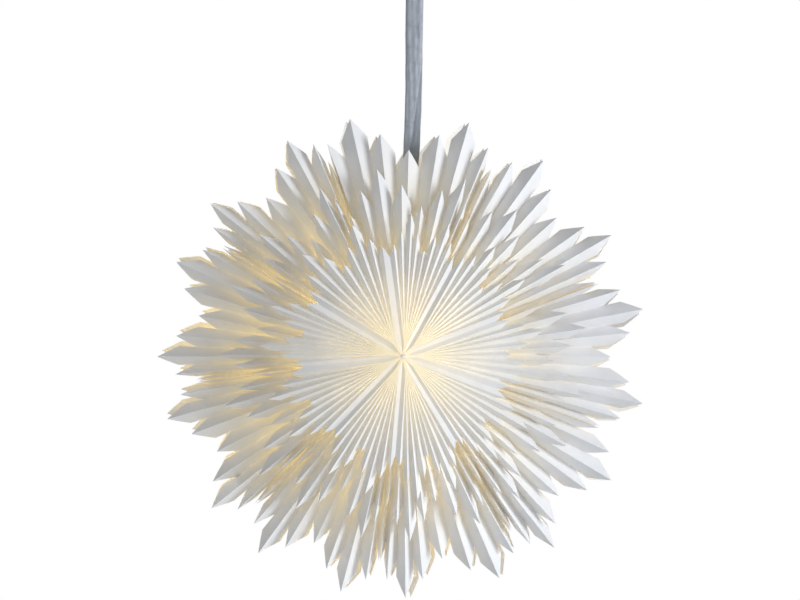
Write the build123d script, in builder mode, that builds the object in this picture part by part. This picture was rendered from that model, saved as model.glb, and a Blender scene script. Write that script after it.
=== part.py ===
"""A pleated paper star lantern: nine folded units round a lampholder, hung by a fabric-sleeved cord.

The origin is on the ceiling, at the middle of the ceiling bracket. Z is up, the star's axis runs
along Y and its front looks along -Y. Sizes are in millimetres and angles in degrees.
"""

import math
import os

from build123d import *

os.makedirs("parts", exist_ok=True)

# Hanging height, and how far the star's middle sits from the cord's line so that it hangs level.
star_drop = 520.0
star_side = 2.6

# Paper and card.
paper = 0.25
card = 1.0
glue_line = 0.1
fan_gap = 0.3

# The folding pattern: each fan is a strip of flat panels folded to and fro.
pleats = 8
panel_width = 22.0
tip_drop = 25.0
leaf_step = 22.4

# Three fans lie on each other in a unit, each with its longest tip and its inner end.
outer_tip = 297.0
outer_start = 130.0
middle_tip = 229.0
middle_start = 80.0
inner_tip = 169.0
inner_side_gap = 3.0
tier_gap = 0.8

# The star's thickness: half of it at the rim, and its rise towards the middle.
rim_height = 26.5
cone_slope = 0.12

# The units' widths as they hang: the top one, the two on its right, and six alike.
top_span = 46.3
second_span = 44.3
third_span = 40.6
alike_units = 6

# The cores that the folds meet in, and the window in each seam card for the lamp.
core_radius = 6.0
core_foot = 58.0
window_radius = 56.0
window_depth = 54.0
window_corner = 14.0

# The seam that opens has two thinner cards with touch-close dots between them.
closing_card_thickness = 0.4
dot_radius = 7.0
dot_places = ((150.0, 0.0), (195.0, 0.0), (238.0, 0.0), (110.0, 34.0), (110.0, -34.0))

# The folded card that hangs the star on the lampholder.
carrier_height = 62.0
carrier_thickness = 1.0
carrier_depth = 60.0
carrier_tab = 14.0
carrier_clearance = 0.6

# Small-bulb lampholder.
skirt_radius = 14.0
skirt_wall = 1.8
skirt_below_carrier = 15.0
flange_radius = 17.0
flange_height = 2.6
flange_gap = 0.3
neck_height = 6.0
cap_height = 27.0
cap_wall = 1.6
cap_top_radius = 8.4
thread_fit = 0.08
ring_radius = 17.6
ring_height = 9.0
ring_grips = 18
ring_grip_radius = 0.9
grip_radius = 7.6
grip_top_radius = 4.8
grip_height = 13.0
block_height = 8.0
block_gap = 0.2
block_screw_radius = 1.6
block_screw_offset = 7.2
shell_radius = 7.6
shell_wall = 0.4
shell_height = 14.0
pin_radius = 0.8
pin_fit = 0.08
pin_height = 4.0
button_radius = 2.4
button_height = 0.5

# Bulb.
bulb_radius = 22.5
glass_wall = 0.9
bulb_neck_radius = 8.6
bulb_cap_radius = 6.9
bulb_cap_wall = 0.4
bulb_cap_height = 15.0
bulb_neck_height = 16.0
insulator_height = 2.0
solder_radius = 2.2
solder_height = 0.8
contact_touch = 0.05
stem_radius = 3.2
filament_radius = 1.1
filament_count = 4
filament_circle = 7.0
filament_height = 24.0

# Cord and its fabric sleeve, which narrows a little on its way down.
cable_radius = 3.0
cable_fit = 0.08
sleeve_width_top = 22.0
sleeve_width_bottom = 18.6
sleeve_thickness = 8.0
sleeve_wall = 0.8
sleeve_above_grip = 2.0

# Ceiling bracket, hook and link.
bracket_width = 20.0
bracket_thickness = 1.5
bracket_leg = 8.0
bracket_foot = 3.3
foot_gap = 1.6
screw_spacing = 60.0
screw_hole_radius = 2.25
wire_radius = 1.5
eye_radius = 5.0
link_gap = 0.3
hook_stem = 3.5
link_span = 12.0

# Clamp that hangs from the link and grips the cord, and the flex that leaves it.
clamp_radius = 9.0
clamp_height = 18.0
clamp_bore_depth = 11.0
clamp_screw_radius = 1.5
clamp_screw_head = 2.6
clamp_screw_head_height = 1.6
tail_bend = 10.0
tail_rise = 2.0
terminal_size = (17.0, 12.0, 14.0)
terminal_screw_radius = 1.9
terminal_screw_height = 1.2
terminal_pitch = 8.0

# Ferrule that holds the sleeve's top end on the cable.
ferrule_wall = 1.4
ferrule_height = 8.0
ferrule_gap = 0.6
ferrule_fit = 0.15

# Ceiling cup, which hangs by two lugs on the bracket's feet.
cup_radius = 52.0
cup_height = 62.0
cup_wall = 1.6
cup_straight = 14.0
cup_shoulder = 9.5
cup_mouth_radius = 24.0
cup_ceiling_gap = 0.3
lug_width = 10.0
lug_overlap = 1.6
lug_height = 2.8
lug_gap = 0.3


def tip_depth(tip, span):
    """Depth of the pleats at a fan's longest tips, for panels of the given width."""
    return math.sqrt(panel_width**2 - (tip * math.sin(math.radians(span / 2 / pleats))) ** 2)


def on_circle(angle, radius):
    return (
        radius * math.sin(math.radians(angle)),
        radius * math.cos(math.radians(angle)),
    )


def fold_points(section, span, apex, valley_slope):
    """Middle line of a folded fan on the plane across it at this distance from its apex."""
    folds = 2 * pleats
    points = []
    for fold in range(folds + 1):
        angle = math.radians((fold / folds - 0.5) * span)
        slope = valley_slope if fold % 2 else cone_slope
        points.append((section * math.tan(angle), apex - slope * section / math.cos(angle)))
    return points


def folded_outline(points):
    """Outline of paper along a zigzag: mitred inside each fold and cut flat outside it."""
    left_side, right_side = [], []
    last = len(points) - 1
    for place, point in enumerate(points):
        before = Vector(*point) - Vector(*points[max(place - 1, 0)])
        after = Vector(*points[min(place + 1, last)]) - Vector(*point)
        if place == 0:
            before = after
        if place == last:
            after = before
        normals = [Vector(-run.Y, run.X).normalized() * (paper / 2) for run in (before, after)]
        share = 1 + normals[0].dot(normals[1]) / (paper / 2) ** 2
        mitre = (normals[0] + normals[1]) / share
        at = Vector(*point)
        turn = before.X * after.Y - before.Y * after.X
        if place in (0, last):
            left_side.append(at + normals[0])
            right_side.append(at - normals[0])
        elif turn < 0:
            left_side += [at + normals[0], at + normals[1]]
            right_side.append(at - mitre)
        else:
            left_side.append(at + mitre)
            right_side += [at - normals[0], at - normals[1]]
    return left_side + right_side[::-1]


def folded_solid(near_outline, near_height, far_outline, far_height):
    """Solid with flat walls between two outlines that have the same corners."""
    near = [Vector(point.X, point.Y, near_height) for point in near_outline]
    far = [Vector(point.X, point.Y, far_height) for point in far_outline]
    walls = []
    for place in range(len(near)):
        following = (place + 1) % len(near)
        corners = [near[place], near[following], far[following], far[place]]
        walls.append(Face(Wire.make_polygon(corners)))
    ends = [Face(Wire.make_polygon(near)), Face(Wire.make_polygon(far))]
    return Solid(Shell(walls + ends))


def leaf_outline(span, tip):
    """Outline of a fan's pointed leaves: each roof falls from its tip to the valley folds."""
    half_pitch = span / (2 * pleats)
    points = []
    for ridge in range(pleats + 1):
        angle = (ridge / pleats - 0.5) * span
        leaf_tip = tip - abs(2 - ridge % 4) * leaf_step
        left_eave = leaf_tip - tip_drop if ridge > 0 else leaf_tip
        right_eave = leaf_tip - tip_drop if ridge < pleats else leaf_tip
        points.append(on_circle(angle - half_pitch, left_eave))
        points.append(on_circle(angle, leaf_tip))
        points.append(on_circle(angle + half_pitch, right_eave))
    return points


def make_fan(span, tip, start, apex, side_gap):
    """One pleated fan behind the middle plane, about the Z axis.

    All its folds run from one point on the fan's middle line, which lies far enough out for the
    fan's sides to keep their gap to the seams.
    """
    valley_slope = cone_slope + tip_depth(tip, span) / tip
    shift = side_gap / math.sin(math.radians(span / 2))
    near = start * math.cos(math.radians(span / 2)) - glue_line
    far = tip + 1
    near_outline = folded_outline(fold_points(near - shift, span, apex, valley_slope))
    far_outline = folded_outline(fold_points(far - shift, span, apex, valley_slope))
    blank = folded_solid(near_outline, near, far_outline, far)
    with BuildPart() as fan:
        add(blank)
        with BuildSketch(Plane.XZ):
            with BuildLine():
                Polyline((0, 0), *leaf_outline(span, tip), close=True)
            make_face()
            Circle(start, mode=Mode.SUBTRACT)
        extrude(amount=outer_tip, both=True, mode=Mode.INTERSECT)
    return fan.part


# Widths of the units, and the height at the star's axis that each tier's ridges run to. A tier
# clears the ridges below it at its longest tips, where its valleys are lowest.
alike_span = (360 - top_span - second_span - third_span) / alike_units
spans = [top_span, second_span, third_span] + [alike_span] * alike_units
narrowest = min(spans)
outer_apex = rim_height + cone_slope * outer_tip
middle_apex = outer_apex + tier_gap + tip_depth(middle_tip, narrowest)
inner_apex = middle_apex + tier_gap + tip_depth(inner_tip, narrowest - 2 * inner_side_gap)


def make_unit(span):
    """The three fans of one unit's back half."""
    seam_gap = card / 2 + fan_gap + paper / 2
    inner_span = span - 2 * inner_side_gap
    outer_fan = make_fan(span, outer_tip, outer_start, outer_apex, seam_gap)
    middle_fan = make_fan(span, middle_tip, middle_start, middle_apex, seam_gap)
    inner_fan = make_fan(inner_span, inner_tip, core_radius + glue_line, inner_apex, 0)
    return Compound(children=[outer_fan, middle_fan, inner_fan])


def make_card(thickness, offset):
    """A radial card: an arm under the front fans, one under the back fans, and a post at the rim."""
    inner_edge = core_radius + glue_line
    middle_low = middle_tip - 2 * leaf_step
    outer_low = outer_tip - 2 * leaf_step
    with BuildPart() as radial_card:
        with BuildSketch(Plane.YZ.offset(offset - thickness / 2)):
            with BuildLine():
                Polyline(
                    (0, window_radius),
                    (window_depth, window_radius),
                    (window_depth + 2, inner_edge),
                    (middle_apex - cone_slope * inner_edge, inner_edge),
                    (middle_apex - cone_slope * middle_low, middle_low),
                    (outer_apex - cone_slope * middle_low, middle_low),
                    (outer_apex - cone_slope * outer_low, outer_low),
                    (0, outer_low),
                    close=True,
                )
            card_half = make_face()
            corner = card_half.vertices().sort_by_distance(Vertex(window_depth, window_radius))[0]
            fillet(corner, window_corner)
            mirror(about=Plane.YZ)
        extrude(amount=thickness)
    return radial_card.part


def star_place(turn):
    """Place of something made about the Z axis, turned clockwise from the top round the star."""
    return Location((star_side, 0, -star_drop), (0, turn, 0))


def save(piece, name):
    piece.label = name
    export_step(piece, f"parts/{name}.step")


# Units of the star, front and back.
unit_of_span = {span: make_unit(span) for span in set(spans)}
seam_turns = []
seam = -top_span / 2
for number, span in enumerate(spans, 1):
    turn = seam + span / 2
    seam += span
    seam_turns.append(seam)
    front_unit = mirror(unit_of_span[span].moved(star_place(turn)), about=Plane.XZ)
    back_unit = mirror(front_unit, about=Plane.XZ)
    save(front_unit, f"front_unit_{number}")
    save(back_unit, f"back_unit_{number}")

# Seam cards. The second seam, on the right of the top, is the one that opens.
closing_turn = top_span / 2 + second_span
dot_thickness = card + 2 * (fan_gap - glue_line) - 2 * closing_card_thickness
closing_offset = (dot_thickness + closing_card_thickness) / 2
plain_card = make_card(card, 0)
first_closing_card = make_card(closing_card_thickness, -closing_offset)
second_closing_card = make_card(closing_card_thickness, closing_offset)
for number, turn in enumerate(seam_turns, 1):
    flat_card = first_closing_card if math.isclose(turn, closing_turn) else plain_card
    save(flat_card.moved(star_place(turn)), f"seam_card_{number}")
save(second_closing_card.moved(star_place(closing_turn)), "closing_card")
with BuildPart() as closing_dots:
    with BuildSketch(Plane.YZ.offset(-dot_thickness / 2)):
        with Locations(*[(across, radius) for radius, across in dot_places]):
            Circle(dot_radius)
    extrude(amount=dot_thickness)
save(closing_dots.part.moved(star_place(closing_turn)), "closing_dots")

# Pressed paper cores where the folds meet, one at the front and one at the back.
star_middle = (star_side, 0, -star_drop)
with BuildPart() as back_core:
    with BuildSketch(Plane(origin=star_middle, x_dir=(1, 0, 0), z_dir=(0, 0, 1))):
        with BuildLine():
            Polyline(
                (0, core_foot),
                (core_radius, core_foot),
                (core_radius, inner_apex - cone_slope * core_radius),
                (0, inner_apex),
                close=True,
            )
        make_face()
    revolve(axis=Axis(star_middle, (0, 1, 0)))
save(back_core.part, "back_core")
with BuildPart() as front_core:
    mirror(back_core.part, about=Plane.XZ)
save(front_core.part, "front_core")

# Carrier card between the two seam cards beside the cord, with its hole round the lampholder.
half_top = math.radians(top_span / 2)


def carrier_half_width(height):
    return height * math.tan(half_top) - (card / 2 + glue_line) / math.cos(half_top)


tab_across = carrier_thickness / math.cos(half_top)
tab_top = carrier_height + carrier_tab
plate_top = carrier_height + carrier_thickness
with BuildPart() as carrier_card:
    with BuildSketch(Plane(origin=star_middle, x_dir=(1, 0, 0), z_dir=(0, -1, 0))):
        with BuildLine():
            Polyline(
                (0, carrier_height),
                (carrier_half_width(carrier_height), carrier_height),
                (carrier_half_width(tab_top), tab_top),
                (carrier_half_width(tab_top) - tab_across, tab_top),
                (carrier_half_width(plate_top) - tab_across, plate_top),
                (0, plate_top),
                close=True,
            )
        make_face()
        mirror(about=Plane.YZ)
    extrude(amount=carrier_depth / 2, both=True)
    with BuildSketch(Plane.XY.offset(carrier_height - star_drop)):
        Circle(skirt_radius + carrier_clearance)
    extrude(amount=carrier_thickness, mode=Mode.SUBTRACT)
save(carrier_card.part, "carrier_card")

# Lampholder body: a threaded skirt with a flange just above the carrier card.
carrier_bottom = carrier_height - star_drop
skirt_bottom = carrier_bottom - skirt_below_carrier
flange_bottom = carrier_bottom + carrier_thickness + flange_gap
flange_top = flange_bottom + flange_height
with BuildPart() as lampholder_body:
    with BuildSketch(Plane.XY.offset(skirt_bottom)):
        Circle(skirt_radius)
    extrude(amount=flange_top + neck_height - skirt_bottom)
    with BuildSketch(Plane.XY.offset(flange_bottom)):
        Circle(flange_radius)
    extrude(amount=flange_height)
    fillet(lampholder_body.edges().filter_by(GeomType.CIRCLE).sort_by(SortBy.RADIUS)[-2:], 0.6)
    with BuildSketch(Plane.XY.offset(skirt_bottom)):
        Circle(skirt_radius - skirt_wall)
    extrude(amount=flange_top + neck_height - skirt_bottom, mode=Mode.SUBTRACT)
save(lampholder_body.part, "lampholder_body")

# Shade ring, screwed up the skirt under the carrier card.
ring_top = carrier_bottom - glue_line
with BuildPart() as shade_ring:
    with BuildSketch(Plane.XY.offset(ring_top - ring_height)):
        Circle(ring_radius)
        with PolarLocations(ring_radius, ring_grips):
            Circle(ring_grip_radius, mode=Mode.SUBTRACT)
        Circle(skirt_radius + thread_fit, mode=Mode.SUBTRACT)
    extrude(amount=ring_height)
    chamfer(shade_ring.faces().sort_by(Axis.Z)[0].inner_wires().edges(), 0.5)
save(shade_ring.part, "shade_ring")

# Lampholder cap over the body's neck, with a hole for the cord grip.
cap_outer = skirt_radius + glue_line + cap_wall
cap_top = flange_top + cap_height
shoulder = flange_top + neck_height + 4
with BuildPart() as lampholder_cap:
    with BuildSketch(Plane.XZ):
        with BuildLine():
            wall = Line((cap_outer, flange_top), (cap_outer, shoulder))
            dome = ThreePointArc(
                wall @ 1,
                (cap_outer - 2.4, (shoulder + cap_top) / 2 + 2.4),
                (cap_top_radius, cap_top),
            )
            Polyline(
                dome @ 1,
                (cable_radius + cable_fit, cap_top),
                (cable_radius + cable_fit, cap_top - cap_wall),
                (cap_top_radius - cap_wall, cap_top - cap_wall),
            )
            ThreePointArc(
                (cap_top_radius - cap_wall, cap_top - cap_wall),
                (cap_outer - 2.4 - cap_wall, (shoulder + cap_top) / 2 + 2.4 - cap_wall),
                (skirt_radius + glue_line, shoulder),
            )
            Polyline(
                (skirt_radius + glue_line, shoulder),
                (skirt_radius + glue_line, flange_top),
                (cap_outer, flange_top),
            )
        make_face()
    revolve(axis=Axis.Z)
save(lampholder_cap.part, "lampholder_cap")

# Cord grip on the cap, tapering up the cable.
grip_top = cap_top + grip_height
with BuildPart() as cord_grip:
    with BuildSketch(Plane.XZ):
        with BuildLine():
            Polyline(
                (cable_radius + cable_fit, cap_top),
                (grip_radius, cap_top),
                (grip_radius, cap_top + grip_height / 2),
                (grip_top_radius, grip_top),
                (cable_radius + cable_fit, grip_top),
                close=True,
            )
        make_face()
    revolve(axis=Axis.Z)
    with BuildSketch(Plane.XY.offset(cap_top)):
        with PolarLocations(grip_radius, 8):
            Rectangle(1.0, 2.0)
    extrude(amount=grip_height / 2, mode=Mode.SUBTRACT)
save(cord_grip.part, "cord_grip")

# Contact block in the skirt, with two terminal screws on its top.
block_bottom = flange_bottom - 1
with BuildPart() as contact_block:
    with BuildSketch(Plane.XY.offset(block_bottom)):
        Circle(skirt_radius - skirt_wall - block_gap)
        Circle(pin_radius + pin_fit, mode=Mode.SUBTRACT)
    extrude(amount=block_height)
save(contact_block.part, "contact_block")
with BuildPart() as block_screws:
    with BuildSketch(Plane.XY.offset(block_bottom + block_height)):
        with GridLocations(2 * block_screw_offset, 0, 2, 1):
            Circle(block_screw_radius)
            Rectangle(2 * block_screw_radius + 1, 0.6, mode=Mode.SUBTRACT)
    extrude(amount=1.4)
    with BuildSketch(Plane.XY.offset(block_bottom + block_height)):
        with GridLocations(2 * block_screw_offset, 0, 2, 1):
            Circle(block_screw_radius)
    extrude(amount=0.7)
save(block_screws.part, "block_screws")

# Screw shell that takes the bulb's cap, hung from the block.
with BuildPart() as screw_shell:
    with BuildSketch(Plane.XY.offset(block_bottom - shell_height)):
        Circle(shell_radius)
        Circle(shell_radius - shell_wall, mode=Mode.SUBTRACT)
    extrude(amount=shell_height)
save(screw_shell.part, "screw_shell")

# Bulb: cap, insulator with its solder tip, glass, stem and filaments.
solder_top = block_bottom - 1.5
cap_ring_top = solder_top - solder_height - insulator_height
cap_ring_bottom = cap_ring_top - bulb_cap_height
bulb_centre = cap_ring_bottom - bulb_neck_height - 6
with BuildPart() as bulb_cap:
    with BuildSketch(Plane.XY.offset(cap_ring_bottom)):
        Circle(bulb_cap_radius)
    extrude(amount=bulb_cap_height)
    with BuildSketch(Plane.XY.offset(cap_ring_bottom)):
        Circle(bulb_cap_radius - bulb_cap_wall)
    extrude(amount=bulb_cap_height - bulb_cap_wall, mode=Mode.SUBTRACT)
    fillet(bulb_cap.edges().filter_by(GeomType.CIRCLE).group_by(Axis.Z)[-1], 0.8 * bulb_cap_wall)
save(bulb_cap.part, "bulb_cap")
with BuildPart() as bulb_insulator:
    with BuildSketch(Plane.XY.offset(cap_ring_top)):
        Circle(bulb_cap_radius - 2 * bulb_cap_wall)
    with BuildSketch(Plane.XY.offset(cap_ring_top + insulator_height)):
        Circle(solder_radius + 0.8)
    loft()
save(bulb_insulator.part, "bulb_insulator")
with BuildPart() as bulb_tip:
    with BuildSketch(Plane.XY.offset(cap_ring_top + insulator_height)):
        Circle(solder_radius)
    extrude(amount=solder_height)
    fillet(bulb_tip.edges().filter_by(GeomType.CIRCLE).sort_by(Axis.Z)[-1], 0.6)
save(bulb_tip.part, "bulb_tip")


def bulb_profile(inset):
    """Half outline of the globe and its neck, drawn inwards by a wall."""
    globe = bulb_radius - inset
    neck = bulb_neck_radius - inset
    neck_low = bulb_centre + math.sqrt(globe**2 - neck**2)
    return [
        (0, bulb_centre - globe),
        (globe, bulb_centre),
        (neck, neck_low),
        (neck, cap_ring_bottom - glue_line),
    ]


with BuildPart() as bulb_glass:
    with BuildSketch(Plane.XZ):
        with BuildLine():
            outside = bulb_profile(0)
            inside = bulb_profile(glass_wall)
            ThreePointArc(outside[0], outside[1], outside[2])
            Polyline(outside[2], outside[3], inside[3], inside[2])
            ThreePointArc(inside[2], inside[1], inside[0])
            Line(inside[0], outside[0])
        make_face()
    revolve(axis=Axis.Z)
save(bulb_glass.part, "bulb_glass")
stem_top = cap_ring_bottom + 2
stem_bottom = bulb_centre + filament_height / 2
with BuildPart() as bulb_stem:
    with BuildSketch(Plane.XY.offset(stem_bottom)):
        Circle(filament_circle + filament_radius)
    extrude(amount=1.2)
    with BuildSketch(Plane.XY.offset(stem_bottom)):
        Circle(stem_radius)
    with BuildSketch(Plane.XY.offset(stem_top)):
        Circle(bulb_cap_radius - 2 * bulb_cap_wall)
    loft()
save(bulb_stem.part, "bulb_stem")
with BuildPart() as bulb_filaments:
    with BuildSketch(Plane.XY.offset(stem_bottom - filament_height)):
        with PolarLocations(filament_circle, filament_count):
            Circle(filament_radius)
    extrude(amount=filament_height)
save(bulb_filaments.part, "bulb_filaments")

# Sprung centre contact on the bulb's tip.
button_bottom = solder_top + contact_touch
with BuildPart() as centre_contact:
    with BuildSketch(Plane.XY.offset(button_bottom)):
        Circle(button_radius)
    extrude(amount=button_height)
    with BuildSketch(Plane.XY.offset(button_bottom)):
        Circle(pin_radius)
    extrude(amount=button_height + pin_height)
save(centre_contact.part, "centre_contact")

# Ceiling bracket: a strip with two screw holes, whose turned-down ends have feet for the cup.
half_bracket = cup_radius - cup_wall - foot_gap - bracket_foot
with BuildPart() as ceiling_bracket:
    with BuildSketch(Plane.XZ):
        with BuildLine():
            Polyline(
                (0, 0),
                (half_bracket, 0),
                (half_bracket, -bracket_leg + bracket_thickness),
                (half_bracket + bracket_foot, -bracket_leg + bracket_thickness),
                (half_bracket + bracket_foot, -bracket_leg),
                (half_bracket - bracket_thickness, -bracket_leg),
                (half_bracket - bracket_thickness, -bracket_thickness),
                (0, -bracket_thickness),
                close=True,
            )
        make_face()
        mirror(about=Plane.YZ)
    extrude(amount=bracket_width / 2, both=True)
    with BuildSketch(Plane.XY.offset(-bracket_thickness)):
        with GridLocations(screw_spacing, 0, 2, 1):
            Circle(screw_hole_radius)
    extrude(amount=bracket_thickness, mode=Mode.SUBTRACT)
save(ceiling_bracket.part, "ceiling_bracket")

# Closed hook under the bracket. Its ring lies across the view, so the link swings to and fro.
eye_centre = -bracket_thickness - hook_stem - eye_radius
swing_height = eye_centre - eye_radius
with BuildPart() as ceiling_hook:
    with BuildSketch(Plane.XY.offset(-bracket_thickness)):
        Circle(2 * wire_radius)
    extrude(amount=-1.2)
    with BuildSketch(Plane.XY.offset(-bracket_thickness)):
        Circle(wire_radius)
    extrude(amount=-hook_stem)
    with Locations((0, 0, eye_centre)):
        Torus(eye_radius, wire_radius, rotation=(90, 0, 0))
save(ceiling_hook.part, "ceiling_hook")

# Link through the hook. Its own lower end carries the clamp, which swings sideways on it.
hang_step = 2 * wire_radius + link_gap
link_top = swing_height + hang_step
side_height = swing_height - link_span
link_upper = link_top - eye_radius
link_lower = side_height + eye_radius
with BuildPart() as hanging_link:
    with BuildLine(Plane.YZ) as link_path:
        right_side = Line((eye_radius, link_lower), (eye_radius, link_upper))
        ThreePointArc(right_side @ 1, (0, link_top), (-eye_radius, link_upper))
        Line((-eye_radius, link_upper), (-eye_radius, link_lower))
        ThreePointArc((-eye_radius, link_lower), (0, side_height), right_side @ 0)
    with BuildSketch(Plane(origin=(0, eye_radius, link_lower), x_dir=(1, 0, 0), z_dir=(0, 0, 1))):
        Circle(wire_radius)
    sweep()
save(hanging_link.part, "hanging_link")

# Cord clamp: an eye on the link, a barrel with the cable's bore and a side hole for the flex.
clamp_eye = side_height + hang_step - eye_radius
barrel_top = clamp_eye - eye_radius - wire_radius / 2
clamp_bottom = barrel_top - clamp_height
tail_centre = clamp_bottom + clamp_bore_depth + cable_radius + 0.6
tail_inner_end = cable_radius
with BuildPart() as cord_clamp:
    with BuildSketch(Plane.XY.offset(clamp_bottom)):
        Circle(clamp_radius)
    extrude(amount=clamp_height)
    chamfer(cord_clamp.edges().filter_by(GeomType.CIRCLE), 1.0)
    with Locations((0, 0, clamp_eye)):
        Torus(eye_radius, wire_radius, rotation=(90, 0, 0))
    with BuildSketch(Plane.XY.offset(clamp_bottom)):
        Circle(cable_radius + cable_fit)
    extrude(amount=clamp_bore_depth, mode=Mode.SUBTRACT)
    with BuildSketch(Plane.YZ.offset(tail_inner_end)):
        with Locations((0, tail_centre)):
            Circle(cable_radius + cable_fit)
    extrude(amount=clamp_radius, mode=Mode.SUBTRACT)
    with BuildSketch(Plane.XZ.offset(clamp_radius)):
        with Locations((0, clamp_bottom + clamp_bore_depth / 2)):
            Circle(clamp_screw_radius + cable_fit)
    extrude(amount=cable_radius - clamp_radius, mode=Mode.SUBTRACT)
save(cord_clamp.part, "cord_clamp")
with BuildPart() as clamp_screw:
    with BuildSketch(Plane.XZ.offset(clamp_radius)):
        with Locations((0, clamp_bottom + clamp_bore_depth / 2)):
            Circle(clamp_screw_radius)
    extrude(amount=cable_radius + cable_fit + fan_gap - clamp_radius)
    with BuildSketch(Plane.XZ.offset(clamp_radius)):
        with Locations((0, clamp_bottom + clamp_bore_depth / 2)):
            Circle(clamp_screw_head)
    extrude(amount=clamp_screw_head_height)
    with BuildSketch(Plane.XZ.offset(clamp_radius + clamp_screw_head_height)):
        with Locations((0, clamp_bottom + clamp_bore_depth / 2)):
            Rectangle(2 * clamp_screw_head, 0.7)
    extrude(amount=-clamp_screw_head_height / 2, mode=Mode.SUBTRACT)
save(clamp_screw.part, "clamp_screw")

# Flex from the clamp's side up to a loose terminal block, to which the ceiling's wires are joined.
tail_out = clamp_radius + 2.5 + tail_bend
tail_top = tail_centre + tail_bend + tail_rise
with BuildPart() as flex_tail:
    with BuildLine(Plane.XZ) as tail_path:
        FilletPolyline(
            (tail_inner_end + fan_gap, tail_centre),
            (tail_out, tail_centre),
            (tail_out, tail_top),
            radius=tail_bend,
        )
    with BuildSketch(Plane.YZ.offset(tail_inner_end + fan_gap)):
        with Locations((0, tail_centre)):
            Circle(cable_radius)
    sweep()
save(flex_tail.part, "flex_tail")
terminal_length, terminal_depth, terminal_height = terminal_size
with BuildPart() as terminal_block:
    with BuildSketch(Plane.XY.offset(tail_top)):
        with Locations((tail_out, 0)):
            RectangleRounded(terminal_length, terminal_depth, 1.5)
    extrude(amount=terminal_height)
    with BuildSketch(Plane.XZ.offset(terminal_depth / 2)):
        with Locations((tail_out, tail_top + terminal_height / 2)):
            with GridLocations(terminal_pitch, 0, 2, 1):
                Circle(terminal_screw_radius + cable_fit)
    extrude(amount=-terminal_screw_height - 0.6, mode=Mode.SUBTRACT)
save(terminal_block.part, "terminal_block")
with BuildPart() as terminal_screws:
    with BuildSketch(Plane.XZ.offset(terminal_depth / 2 - 0.6)):
        with Locations((tail_out, tail_top + terminal_height / 2)):
            with GridLocations(terminal_pitch, 0, 2, 1):
                Circle(terminal_screw_radius)
                Rectangle(2 * terminal_screw_radius + 1, 0.6, mode=Mode.SUBTRACT)
    extrude(amount=-terminal_screw_height)
    with BuildSketch(Plane.XZ.offset(terminal_depth / 2 - 0.6 - terminal_screw_height / 2)):
        with Locations((tail_out, tail_top + terminal_height / 2)):
            with GridLocations(terminal_pitch, 0, 2, 1):
                Circle(terminal_screw_radius)
    extrude(amount=-terminal_screw_height / 2)
save(terminal_screws.part, "terminal_screws")

# Cable, straight from the lampholder's cap up into the clamp's bore.
cable_low = cap_top - cap_wall - 2
cable_high = clamp_bottom + clamp_bore_depth - fan_gap
with BuildPart() as cable:
    with BuildSketch(Plane.XY.offset(cable_low)):
        Circle(cable_radius)
    extrude(amount=cable_high - cable_low)
save(cable.part, "cable")

# Fabric sleeve: a flattened tube round the cable, from just above the cord grip to its ferrule.
ferrule_top = clamp_bottom - ferrule_gap
ferrule_bottom = ferrule_top - ferrule_height
sleeve_low = grip_top + sleeve_above_grip
sleeve_high = ferrule_top - ferrule_wall - ferrule_fit
with BuildPart() as fabric_sleeve:
    for wall, mode in ((0, Mode.ADD), (sleeve_wall, Mode.SUBTRACT)):
        for height, width in ((sleeve_low, sleeve_width_bottom), (sleeve_high, sleeve_width_top)):
            with BuildSketch(Plane.XY.offset(height)):
                SlotOverall(width - 2 * wall, sleeve_thickness - 2 * wall)
        loft(mode=mode)
save(fabric_sleeve.part, "fabric_sleeve")
with BuildPart() as sleeve_ferrule:
    bore_width = sleeve_width_top + 2 * ferrule_fit
    bore_thickness = sleeve_thickness + 2 * ferrule_fit
    with BuildSketch(Plane.XY.offset(ferrule_bottom)):
        SlotOverall(bore_width + 2 * ferrule_wall, bore_thickness + 2 * ferrule_wall)
    extrude(amount=ferrule_height)
    fillet(sleeve_ferrule.edges().group_by(Axis.Z)[-1], 1.0)
    with BuildSketch(Plane.XY.offset(ferrule_bottom)):
        SlotOverall(bore_width, bore_thickness)
    extrude(amount=ferrule_height - ferrule_wall, mode=Mode.SUBTRACT)
    with BuildSketch(Plane.XY.offset(ferrule_bottom)):
        Circle(cable_radius + cable_fit)
    extrude(amount=ferrule_height, mode=Mode.SUBTRACT)
save(sleeve_ferrule.part, "sleeve_ferrule")

# Ceiling cup: a bell round the link and the clamp, open above and below.
inner_radius = cup_radius - cup_wall
bend_height = 0.44 * cup_straight + 0.56 * cup_height
lug_bottom = -bracket_leg + bracket_thickness + lug_gap
with BuildPart() as ceiling_cup:
    with BuildSketch(Plane.XZ):
        with BuildLine():
            outer_bend = (cup_radius - cup_shoulder, -bend_height)
            inner_bend = (cup_radius - cup_shoulder - cup_wall, 0.4 * cup_wall - bend_height)
            outer_mouth = (cup_mouth_radius + 0.4 * cup_wall, -cup_height)
            inner_mouth = (cup_mouth_radius, -cup_height + cup_wall)
            Polyline(
                (inner_radius, -cup_straight),
                (inner_radius, -cup_ceiling_gap),
                (cup_radius, -cup_ceiling_gap),
                (cup_radius, -cup_straight),
            )
            ThreePointArc((cup_radius, -cup_straight), outer_bend, outer_mouth)
            Polyline(outer_mouth, (cup_mouth_radius, -cup_height), inner_mouth)
            ThreePointArc(inner_mouth, inner_bend, (inner_radius, -cup_straight))
        make_face()
    revolve(axis=Axis.Z)
    with BuildSketch(Plane.XY.offset(lug_bottom)):
        Circle(inner_radius + cup_wall / 2)
        Circle(inner_radius - foot_gap - lug_overlap, mode=Mode.SUBTRACT)
        Rectangle(2 * cup_radius, lug_width, mode=Mode.INTERSECT)
    extrude(amount=lug_height)
save(ceiling_cup.part, "ceiling_cup")

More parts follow.
